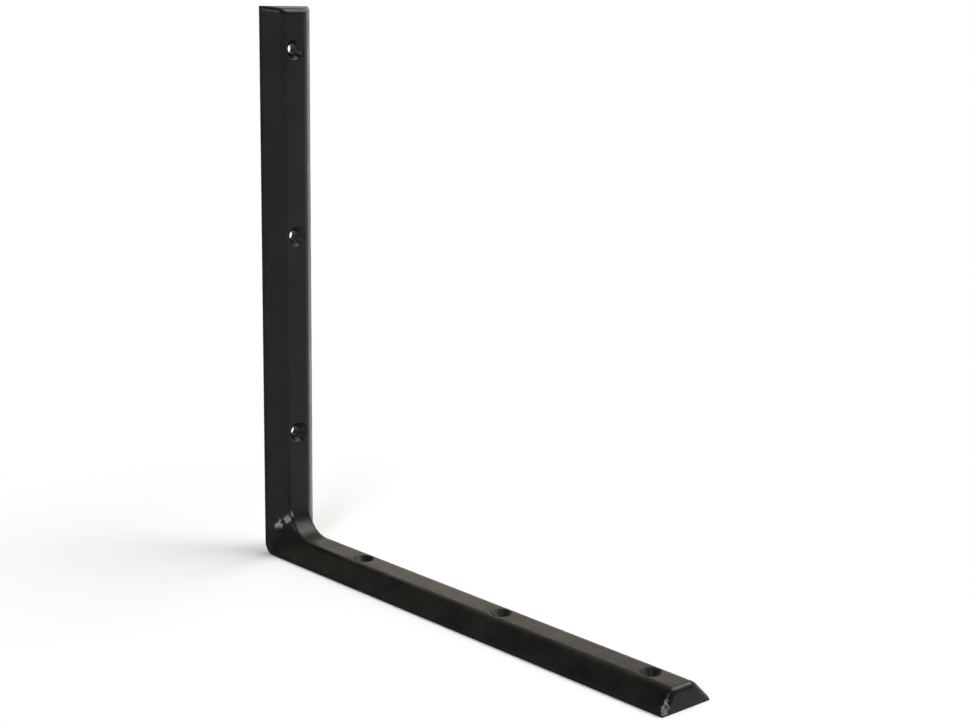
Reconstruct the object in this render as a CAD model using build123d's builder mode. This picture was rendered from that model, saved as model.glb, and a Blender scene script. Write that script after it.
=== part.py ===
from build123d import *
import os
from math import atan, cos, degrees, radians, sin, tan

# Pressed-steel shelf bracket: one sheet drawn into a channel and turned through a right angle.
# The origin is the outer corner, on the middle of the width. The leg stands along Z with its open
# side on the wall plane X = 0, and the arm lies along X with its open side on the shelf plane Z = 0.

# Limbs, each measured from the outer corner to its tip
leg_length = 250.0
arm_length = 250.0

# Drawn section, over the outside of the sheet
sheet = 1.5
base_width = 26.0
ridge_width = 12.6
channel_depth = 8.8
lip_height = 1.8
end_set_back = 1.2

# Bends along the ridge and round the ends, inside the sheet, and the corners of the L, outside it
ridge_bend_radius = 3.3
end_bend_radius = 1.2
inner_corner_radius = 15.0
outer_corner_radius = 5.5

# Dished screw holes with plunged collars, three on each limb
screw_hole_diameter = 4.5
dish_diameter = 9.5
dish_angle = 90.0
rim_radius = 0.8
collar_bore = 4.4
collar_wall = 0.7
corner_hole = 57.5
tip_hole = 18.5
middle_hole_shift = 4.0

# Slopes that follow from the section
slope_height = channel_depth - lip_height
side_slope = atan(2 * slope_height / (base_width - ridge_width))
end_lean = atan(end_set_back / slope_height)

# Dish and collar sizes that follow from the rim, hole and angle
dish_half_angle = radians(dish_angle / 2)
dish_depth = (dish_diameter - screw_hole_diameter) / 2 / tan(dish_half_angle)
rim_level = channel_depth - dish_depth / 3
collar_radius = screw_hole_diameter / 2 + collar_wall
collar_depth = dish_depth + collar_bore
boss_radius = dish_diameter / 2 + sheet / cos(dish_half_angle)
boss_depth = (boss_radius - collar_radius) / tan(dish_half_angle)

# The forms run this far past the wall and shelf planes before those planes trim them
overrun = channel_depth + inner_corner_radius

leg_base = Plane(origin=(0, 0, 0), x_dir=(0, 0, 1), z_dir=(1, 0, 0))
arm_base = Plane.XY
limbs = ((leg_base, leg_length), (arm_base, arm_length))
from_ridge = (Align.CENTER, Align.CENTER, Align.MAX)


def limb_form(base, length, inset):
    """One limb as a solid with its faces moved in by inset, run past the corner and the base plane."""
    section = Plane(origin=base.origin, x_dir=base.y_dir, z_dir=base.x_dir)
    foot_spread = (lip_height + overrun) / tan(side_slope) - inset / sin(side_slope)
    end_place = base.location * Pos(length, 0, lip_height) * Rot(0, 90 - degrees(end_lean), 0)
    with BuildPart() as limb:
        with BuildSketch(section.offset(-overrun)):
            with Locations((0, -overrun)):
                Trapezoid(
                    base_width + 2 * foot_spread,
                    channel_depth + overrun - inset,
                    degrees(side_slope),
                    align=(Align.CENTER, Align.MIN),
                )
        extrude(amount=length + 2 * overrun)
        split(bisect_by=Plane(end_place).offset(-inset), keep=Keep.BOTTOM)
        along, upward = Axis((0, 0, 0), base.x_dir), Axis((0, 0, 0), base.z_dir)
        ridge_edges = faces().sort_by(upward)[-1].edges().filter_by(along)
        fillet(ridge_edges, ridge_bend_radius + sheet - inset)
        end_edges = faces().sort_by(along)[-1].edges() - faces().sort_by(upward)[0].edges()
        fillet(end_edges, end_bend_radius + sheet - inset)
    return limb.part


def on_mitre(edge):
    """True for an edge in the plane that halves the angle between the limbs."""
    mitre = Plane(origin=(0, 0, 0), x_dir=(0, 1, 0), z_dir=(1, 0, -1))
    return all(mitre.contains(vertex.center()) for vertex in edge.vertices())


def pressed_form(inset):
    """Both limbs joined at the mitre, with the inner corner rounded and the lips upright."""
    leg, arm = (limb_form(base, length, inset) for base, length in limbs)
    with BuildPart() as form:
        add(leg)
        add(arm)
        # The waste outside the corner is cut back first, so that the valley runs out on a flat
        chamfer(edges().sort_by(Axis((0, 0, 0), (1, 0, 1)))[0], overrun)
        valley = edges().filter_by(on_mitre)
        fillet(valley, inner_corner_radius + inset)
        with BuildSketch(Plane.XZ):
            with Locations((-overrun, -overrun)):
                Rectangle(
                    arm_length - inset + overrun,
                    leg_length - inset + overrun,
                    align=(Align.MIN, Align.MIN),
                )
        extrude(amount=base_width / 2 - inset, both=True, mode=Mode.INTERSECT)
    return form.part


def hole_places(length):
    """The three hole centres along a limb, from the outer corner."""
    last = length - tip_hole
    middle = (corner_hole + last) / 2 + middle_hole_shift
    return [(place, 0) for place in (corner_hole, middle, last)]


# The hollow is the same form one sheet in, less the back of each dish and its collar
with BuildPart() as hollow:
    add(pressed_form(sheet))
    for base, length in limbs:
        with Locations(base.offset(channel_depth)):
            with Locations(*hole_places(length)):
                Cone(
                    collar_radius,
                    boss_radius,
                    boss_depth,
                    align=from_ridge,
                    mode=Mode.SUBTRACT,
                )
                Cylinder(collar_radius, collar_depth, align=from_ridge, mode=Mode.SUBTRACT)

# The bracket is the outside form less the hollow, trimmed by the wall and shelf planes and pierced
with BuildPart() as bracket:
    add(pressed_form(0))
    add(hollow.part, mode=Mode.SUBTRACT)
    with BuildSketch(Plane.XZ):
        Rectangle(arm_length, leg_length, align=(Align.MIN, Align.MIN))
        fillet(vertices().sort_by_distance((0, 0))[0], outer_corner_radius)
    extrude(amount=base_width, both=True, mode=Mode.INTERSECT)
    for base, length in limbs:
        with Locations(base.offset(channel_depth)):
            with Locations(*hole_places(length)):
                CounterSinkHole(
                    screw_hole_diameter / 2,
                    dish_diameter / 2,
                    depth=channel_depth,
                    counter_sink_angle=dish_angle,
                )
        outward = Axis(base.origin, base.z_dir)
        rims = edges(Select.LAST).filter_by_position(outward, rim_level, channel_depth)
        fillet(rims, rim_radius)

bracket.part.label = "bracket"
os.makedirs("parts", exist_ok=True)
export_step(bracket.part, "parts/bracket.step")
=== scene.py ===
import math

import bpy
from mathutils import Matrix, Vector

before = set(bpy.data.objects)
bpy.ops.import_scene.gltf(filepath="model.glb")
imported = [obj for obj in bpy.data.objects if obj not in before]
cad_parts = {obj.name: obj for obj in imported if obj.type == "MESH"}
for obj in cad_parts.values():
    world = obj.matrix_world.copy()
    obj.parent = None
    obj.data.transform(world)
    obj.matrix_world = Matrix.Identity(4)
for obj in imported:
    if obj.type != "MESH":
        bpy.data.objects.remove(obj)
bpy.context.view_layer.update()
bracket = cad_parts["bracket"]
scene = bpy.context.scene
scene.view_settings.view_transform = "Standard"

# The bracket keeps its CAD shape. This script gives it its paint, and adds floor, light and camera.
# Lengths are in metres, and the scales of the noises are per metre.

WHITE = (1, 1, 1, 1)

# Vector Math operations whose result is a number
GIVES_NUMBER = ("DISTANCE", "DOT_PRODUCT", "LENGTH")


def make_material(name):
    """An empty node material with its output, ready for a shader."""
    material = bpy.data.materials.new(name)
    material.use_nodes = True
    tree = material.node_tree
    tree.nodes.clear()
    output = tree.nodes.new("ShaderNodeOutputMaterial")
    return material, tree, output


def feed(tree, socket, source):
    """Links an input to another node's output, or sets it to a plain value."""
    if isinstance(source, bpy.types.NodeSocket):
        tree.links.new(source, socket)
    else:
        socket.default_value = source


def node(tree, kind, *sources, **settings):
    """A shader node. Sources feed its first inputs in turn, settings its properties or named inputs."""
    made = tree.nodes.new(kind)
    for key, value in settings.items():
        if hasattr(made, key):
            setattr(made, key, value)
        else:
            feed(tree, made.inputs[key.replace("_", " ")], value)
    for socket, source in zip(made.inputs, sources):
        feed(tree, socket, source)
    return made


def number(tree, operation, *sources):
    """The result of a Math node."""
    return node(tree, "ShaderNodeMath", *sources, operation=operation).outputs["Value"]


def vector(tree, operation, *sources, **settings):
    """The result of a Vector Math node."""
    made = node(tree, "ShaderNodeVectorMath", *sources, operation=operation, **settings)
    return made.outputs["Value" if operation in GIVES_NUMBER else "Vector"]


def ranged(tree, value, **settings):
    """A value carried from one range to another and held inside it."""
    return node(tree, "ShaderNodeMapRange", value, **settings).outputs["Result"]


def mixed(tree, factor, first, second):
    """A colour that goes from the first to the second as the factor goes from 0 to 1."""
    mix = node(tree, "ShaderNodeMix", factor, data_type="RGBA")
    ends = [socket for socket in mix.inputs if socket.type == "RGBA"]
    for end, colour in zip(ends, (first, second)):
        feed(tree, end, colour)
    return next(socket for socket in mix.outputs if socket.type == "RGBA")


# Black enamel on pressed steel: its colour and gloss, and the dull lips at the full width
PAINT_IOR = 1.3
MOTTLE = dict(Scale=58.0, Detail=6.0, Roughness=0.66)
TONES = ((0.3, (0.001, 0.0026, 0.0025, 1)), (0.72, (0.0112, 0.0109, 0.0085, 1)))
GLOSS = dict(From_Min=0.3, From_Max=0.7, To_Min=0.25, To_Max=0.43)
LIP = dict(From_Min=0.0126, From_Max=0.0129, To_Max=0.8)

# Waves left in the sheet by the press, and the paint's fine peel
WAVES = dict(Scale=55.0, Detail=2.0, Roughness=0.45)
WAVE_BUMP = dict(Strength=0.24, Distance=0.0012)
PEEL = dict(Scale=420.0, Detail=2.0, Roughness=0.5)
PEEL_BUMP = dict(Strength=0.2, Distance=0.0004)

# Painted glints: patches in the inner corner and on the arm's tip where flecks of steel colour stand in
# for highlights, drawn as paint chipped off: centre and reach
PAINTED_GLINT_PATCHES = (
    ((0.0060, -0.0091, 0.0149), 0.0042),
    ((0.0086, -0.0067, 0.0171), 0.0038),
    ((0.0095, -0.0044, 0.0192), 0.0030),
    ((0.2491, -0.0113, 0.0019), 0.0040),
    ((0.2487, -0.0097, 0.0041), 0.0036),
)
# The patches are longer up the leg than across it, and their outlines wander
PATCH_STRETCH = (1.0, 1.5, 0.75)
DRIFT = dict(Scale=420.0, Detail=1.0, Roughness=0.5)
DRIFT_MIDDLE = (0.5, 0.5, 0.5)
DRIFT_REACH = 0.005
# A face turned this way is on the outside of the sheet there
PATCH_FACING = (0.6, -0.7, 0.4)
FLECKS = dict(Scale=3400.0, Detail=5.0, Roughness=0.62)
GLINT_FLECK_RANGE = dict(From_Min=0.27, From_Max=0.5)
# Colour and roughness of the painted glints, drawn as steel
GLINT_STEEL_COLOUR = (0.42, 0.42, 0.41, 1)
GLINT_STEEL_ROUGHNESS = 0.6


def enamel():
    """Uneven black paint, with painted glints drawn as flecks of steel in the patches."""
    material, tree, output = make_material("black_enamel")
    link = tree.links.new
    place = node(tree, "ShaderNodeTexCoord").outputs["Object"]
    shader = node(tree, "ShaderNodeBsdfPrincipled", IOR=PAINT_IOR)

    # Slight unevenness of the black and of its gloss
    mottle = node(tree, "ShaderNodeTexNoise", place, **MOTTLE).outputs["Fac"]
    tone = node(tree, "ShaderNodeValToRGB", mottle)
    for stop, (position, colour) in zip(tone.color_ramp.elements, TONES):
        stop.position = position
        stop.color = colour
    gloss = ranged(tree, mottle, **GLOSS)

    # The lips along both edges are dull
    across = node(tree, "ShaderNodeSeparateXYZ", place).outputs["Y"]
    lip = ranged(tree, number(tree, "ABSOLUTE", across), **LIP)
    dull = number(tree, "MAXIMUM", gloss, lip)

    # Painted glints: flecks of steel colour in the patches, thickest at their middles
    drift = node(tree, "ShaderNodeTexNoise", place, **DRIFT).outputs["Color"]
    either_way = vector(tree, "SUBTRACT", drift, DRIFT_MIDDLE)
    shift = vector(tree, "SCALE", either_way, Scale=DRIFT_REACH)
    warped = vector(tree, "ADD", place, shift)
    stretched = vector(tree, "MULTIPLY", warped, PATCH_STRETCH)
    level = 0.0
    for centre, reach in PAINTED_GLINT_PATCHES:
        middle = [c * s for c, s in zip(centre, PATCH_STRETCH)]
        away = vector(tree, "DISTANCE", stretched, middle)
        near = ranged(tree, away, From_Min=reach, From_Max=0.0)
        level = number(tree, "MAXIMUM", level, near)
    fleck = node(tree, "ShaderNodeTexNoise", place, **FLECKS).outputs["Fac"]
    thickly = number(tree, "MULTIPLY", fleck, level)
    normal = node(tree, "ShaderNodeNewGeometry").outputs["Normal"]
    turned = vector(tree, "DOT_PRODUCT", normal, PATCH_FACING)
    outside = number(tree, "GREATER_THAN", turned, 0.0)
    # Strength of the painted glints: steel colour, metal and roughness where the flecks lie
    painted_glint = ranged(tree, number(tree, "MULTIPLY", thickly, outside), **GLINT_FLECK_RANGE)
    glint_roughness = number(tree, "MULTIPLY", painted_glint, GLINT_STEEL_ROUGHNESS)
    link(mixed(tree, painted_glint, tone.outputs["Color"], GLINT_STEEL_COLOUR), shader.inputs["Base Color"])
    link(painted_glint, shader.inputs["Metallic"])
    link(number(tree, "MAXIMUM", dull, glint_roughness), shader.inputs["Roughness"])

    # The waves lie under the peel
    wave = node(tree, "ShaderNodeTexNoise", place, **WAVES).outputs["Fac"]
    wavy = node(tree, "ShaderNodeBump", Height=wave, **WAVE_BUMP).outputs["Normal"]
    peel = node(tree, "ShaderNodeTexNoise", place, **PEEL).outputs["Fac"]
    texture = node(tree, "ShaderNodeBump", Height=peel, Normal=wavy, **PEEL_BUMP)
    link(texture.outputs["Normal"], shader.inputs["Normal"])
    link(shader.outputs["BSDF"], output.inputs["Surface"])
    return material


bracket.data.materials.clear()
bracket.data.materials.append(enamel())

# Floor: matte round the arm's foot, where the shadow falls, and plain white further out
FLOOR_HALF = 60.0
FLOOR_COLOUR = (0.96, 0.96, 0.96, 1)
FOOT_CENTRE = (0.125, 0.0, 0.0)
FOOT_HALF = (0.125, 0.013, 0.0)
SHADOW_FADE = dict(From_Min=0.03, From_Max=0.2, interpolation_type="SMOOTHSTEP")


def floor_white():
    """A matte floor that fades to plain white, as the camera and reflections see it."""
    material, tree, output = make_material("floor_white")
    matte = node(tree, "ShaderNodeBsdfDiffuse", Color=FLOOR_COLOUR)
    plain = node(tree, "ShaderNodeEmission", Color=WHITE, Strength=1.0)
    place = node(tree, "ShaderNodeTexCoord").outputs["Object"]
    from_centre = vector(tree, "ABSOLUTE", vector(tree, "SUBTRACT", place, FOOT_CENTRE))
    past_foot = vector(tree, "SUBTRACT", from_centre, FOOT_HALF)
    away = vector(tree, "LENGTH", vector(tree, "MAXIMUM", past_foot, (0, 0, 0)))
    rays = node(tree, "ShaderNodeLightPath").outputs
    camera_or_gloss = number(tree, "MAXIMUM", rays["Is Camera Ray"], rays["Is Glossy Ray"])
    any_seen = number(tree, "MAXIMUM", camera_or_gloss, rays["Is Transmission Ray"])
    share = number(tree, "MULTIPLY", ranged(tree, away, **SHADOW_FADE), any_seen)
    ends = matte.outputs["BSDF"], plain.outputs["Emission"]
    choose = node(tree, "ShaderNodeMixShader", share, *ends)
    tree.links.new(choose.outputs["Shader"], output.inputs["Surface"])
    return material


mesh = bpy.data.meshes.new("floor")
corners = [(-1, -1), (1, -1), (1, 1), (-1, 1)]
points = [(x * FLOOR_HALF, y * FLOOR_HALF, 0) for x, y in corners]
mesh.from_pydata(points, [], [(0, 1, 2, 3)])
floor = bpy.data.objects.new("floor", mesh)
scene.collection.objects.link(floor)
floor.data.materials.append(floor_white())

# World: a warm white sweep behind the bracket as the camera sees it, and a dim room in front
SWEEP_SIDE = (-0.62, 0.78, 0.0)
SWEEP_EDGE = dict(From_Min=-0.15, From_Max=0.6, interpolation_type="SMOOTHSTEP")
SWEEP_COLOUR = (1.0, 0.94, 0.82, 1)
ROOM_COLOUR = (0.2, 0.2, 0.2, 1)
# By the height of a direction: plain white at the horizon, past the floor's edge, and dimmer overhead
HORIZON = dict(From_Min=0.03, From_Max=0.1, interpolation_type="SMOOTHSTEP")
CEILING = dict(
    From_Min=0.3, From_Max=0.7, To_Min=1.0, To_Max=0.45, interpolation_type="SMOOTHSTEP"
)

world = bpy.data.worlds.new("studio")
scene.world = world
world.use_nodes = True
tree = world.node_tree
tree.nodes.clear()
facing = node(tree, "ShaderNodeTexCoord").outputs["Generated"]
height = node(tree, "ShaderNodeSeparateXYZ", facing).outputs["Z"]
around = ranged(tree, vector(tree, "DOT_PRODUCT", facing, SWEEP_SIDE), **SWEEP_EDGE)
walls = mixed(tree, around, ROOM_COLOUR, SWEEP_COLOUR)
seen = mixed(tree, ranged(tree, height, **HORIZON), WHITE, walls)
room = node(tree, "ShaderNodeBackground", seen, ranged(tree, height, **CEILING))
node(tree, "ShaderNodeOutputWorld", room.outputs["Background"])

# Lamps: place, size, power in watts and colour
LAMPS = {
    "overhead": ((0.3, 0.75, 1.2), (1.0, 1.0), 17.5, (0.97, 0.99, 1.0)),
    "key": ((0.49, -0.63, 0.96), (0.18, 0.18), 2.6, (0.94, 0.98, 1.0)),
    "front": ((0.42, -0.85, 0.55), (0.12, 0.12), 1.2, (0.95, 0.98, 1.0)),
    "right": ((0.45, 1.1, 0.14), (0.4, 0.24), 0.5, (1.0, 0.5, 0.18)),
    "behind": ((-0.85, 0.85, 0.36), (0.7, 0.4), 0.16, (1.0, 0.55, 0.15)),
}
LAMP_TARGET = Vector((0.09, 0.0, 0.1))


def lamp(name, place, size, power, colour):
    """A soft rectangular studio lamp aimed at the bracket."""
    data = bpy.data.lights.new(name, "AREA")
    data.shape = "RECTANGLE"
    data.size, data.size_y = size
    data.energy = power
    data.color = colour
    made = bpy.data.objects.new(name, data)
    scene.collection.objects.link(made)
    made.location = place
    made.rotation_mode = "QUATERNION"
    made.rotation_quaternion = (LAMP_TARGET - Vector(place)).to_track_quat("-Z", "Y")
    made.visible_camera = False


for lamp_name, facts in LAMPS.items():
    lamp(lamp_name, *facts)

# Camera at the photograph's angle, with its focal length given in pixels of an image this wide
IMAGE_WIDTH = 970
FOCAL_PIXELS = 1750.0
SENSOR_WIDTH = 36.0
CLIP_START = 0.01
AZIMUTH = math.radians(47.92)
PITCH = math.radians(11.935)
ROLL = math.radians(0.826)
PLACE = Vector((0.6476, -0.4614, 0.2564))

outward = math.cos(PITCH)
back = Vector((math.sin(AZIMUTH) * outward, -math.cos(AZIMUTH) * outward, math.sin(PITCH)))
sideways = Vector((0, 0, 1)).cross(back).normalized()
upright = back.cross(sideways)
right = sideways * math.cos(ROLL) + upright * math.sin(ROLL)
up = upright * math.cos(ROLL) - sideways * math.sin(ROLL)
turn = Matrix((right, up, back)).transposed().to_4x4()
camera_data = bpy.data.cameras.new("camera")
camera_data.sensor_width = SENSOR_WIDTH
camera_data.lens = FOCAL_PIXELS * SENSOR_WIDTH / IMAGE_WIDTH
camera_data.clip_start = CLIP_START
camera = bpy.data.objects.new("camera", camera_data)
scene.collection.objects.link(camera)
camera.matrix_world = Matrix.Translation(PLACE) @ turn
scene.camera = camera
